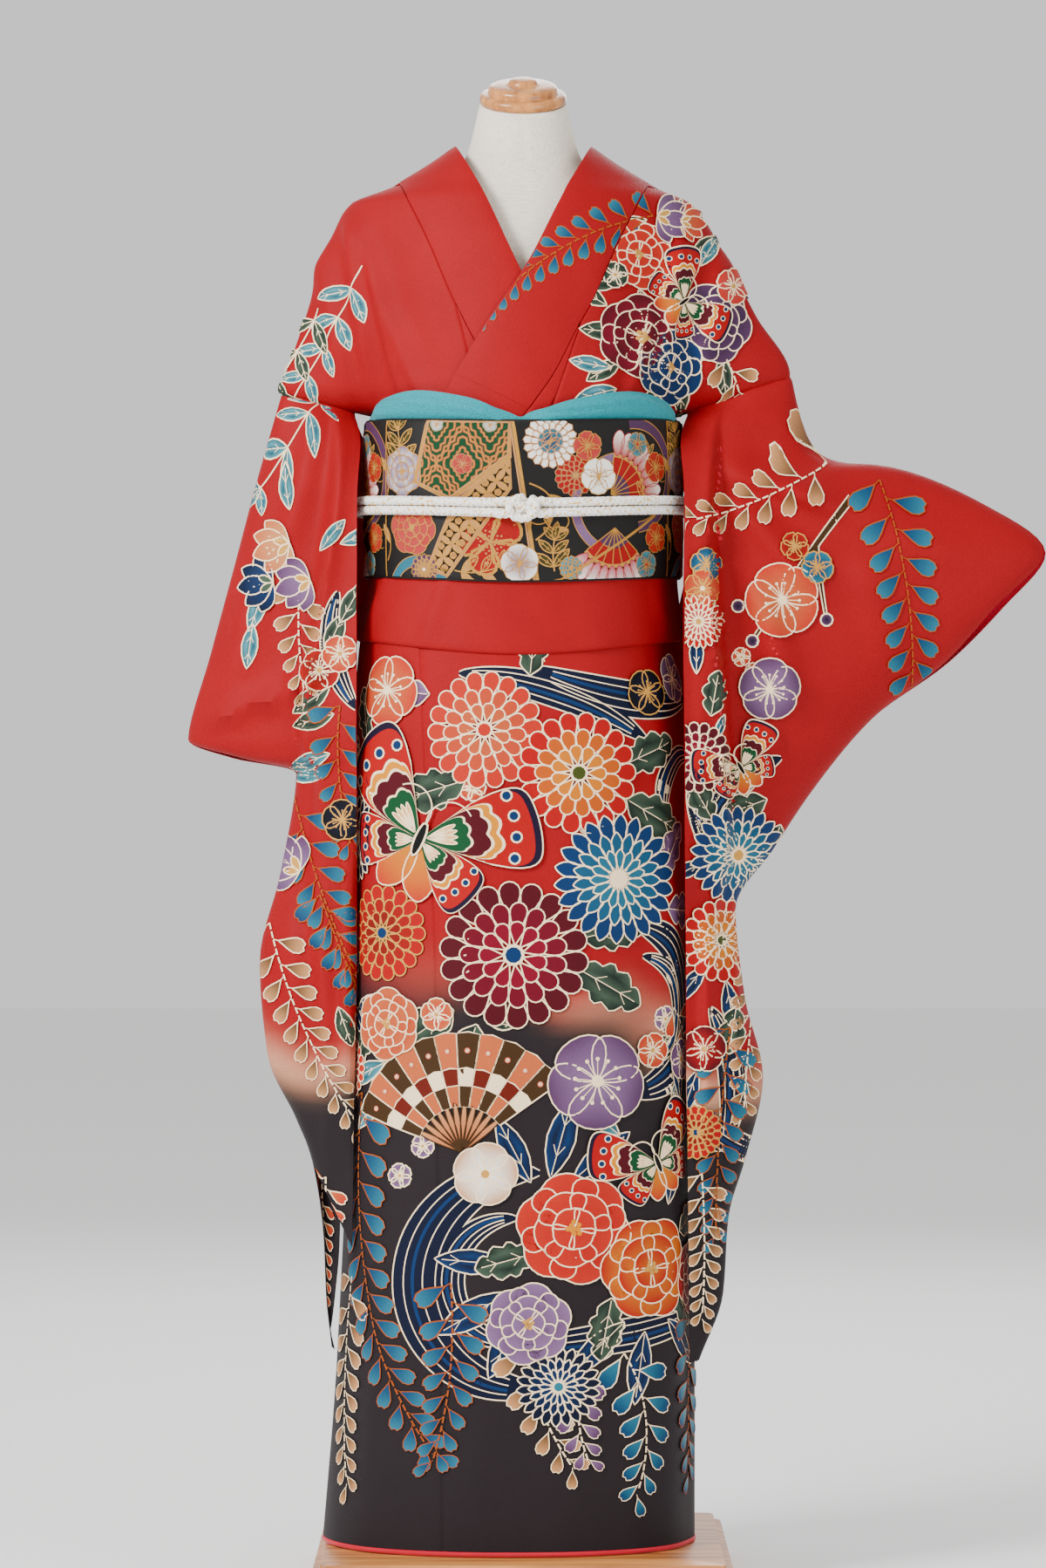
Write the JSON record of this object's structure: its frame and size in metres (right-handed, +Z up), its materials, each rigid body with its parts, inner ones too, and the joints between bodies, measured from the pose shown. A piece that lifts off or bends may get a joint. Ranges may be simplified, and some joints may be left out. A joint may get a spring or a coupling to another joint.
{
  "type": "furisode on a dress form with a wooden base",
  "caption": "Long-sleeved wrapped silk robe with a brocade sash, scarf and braided cord, worn on a limbless linen dress form that stands on a square wooden base.",
  "frame": {"origin": "centre of the wooden base's underside", "axes": "+Z up, -Y the way the form faces, +X the wearer's left"},
  "size_m": [0.8381, 0.438, 1.4652],
  "materials": {
    "red_silk_crepe": "crepe weave, shaded from red to charcoal",
    "crimson_lining_silk": "plain weave, soft sheen",
    "black_gold_brocade": "figured brocade with metal thread",
    "teal_scarf_silk": "tie-dyed silk, crinkled",
    "white_silk_braid": "flat braid with gold flecks",
    "cream_linen": "slub linen, matte",
    "honey_wood": "turned and varnished",
    "grey_steel_tube": "drawn tube"
  },
  "bodies": {
    "root": {"over_collar": "red_silk_crepe", "collar_left_end": "red_silk_crepe", "bodice_left_front": "red_silk_crepe", "bodice_left_back": "red_silk_crepe", "bodice_right_front": "red_silk_crepe", "bodice_right_back": "red_silk_crepe", "overlap_left_top": "red_silk_crepe", "overlap_right_top": "red_silk_crepe", "skirt_back_left": "red_silk_crepe", "skirt_back_right": "red_silk_crepe", "skirt_left_front": "red_silk_crepe", "skirt_left_overlap": "red_silk_crepe", "skirt_right_front": "red_silk_crepe", "skirt_right_overlap": "red_silk_crepe", "sleeve_left_front": "red_silk_crepe", "sleeve_left_back": "red_silk_crepe", "sleeve_right_front": "red_silk_crepe", "sleeve_right_back": "red_silk_crepe", "waist_fold_front": "red_silk_crepe", "waist_fold_back": "red_silk_crepe", "sleeve_left_cuff_lining": "crimson_lining_silk", "hem_lining_front": "crimson_lining_silk", "hem_lining_back": "crimson_lining_silk", "obi_band": "black_gold_brocade", "obi_bow": "black_gold_brocade", "obi_scarf": "teal_scarf_silk", "cord_upper": "white_silk_braid", "cord_lower": "white_silk_braid", "cord_knot": "white_silk_braid", "form_torso": "cream_linen", "form_cap": "honey_wood", "stand_base": "honey_wood", "stand_pole": "grey_steel_tube"}
  },
  "joints": []
}
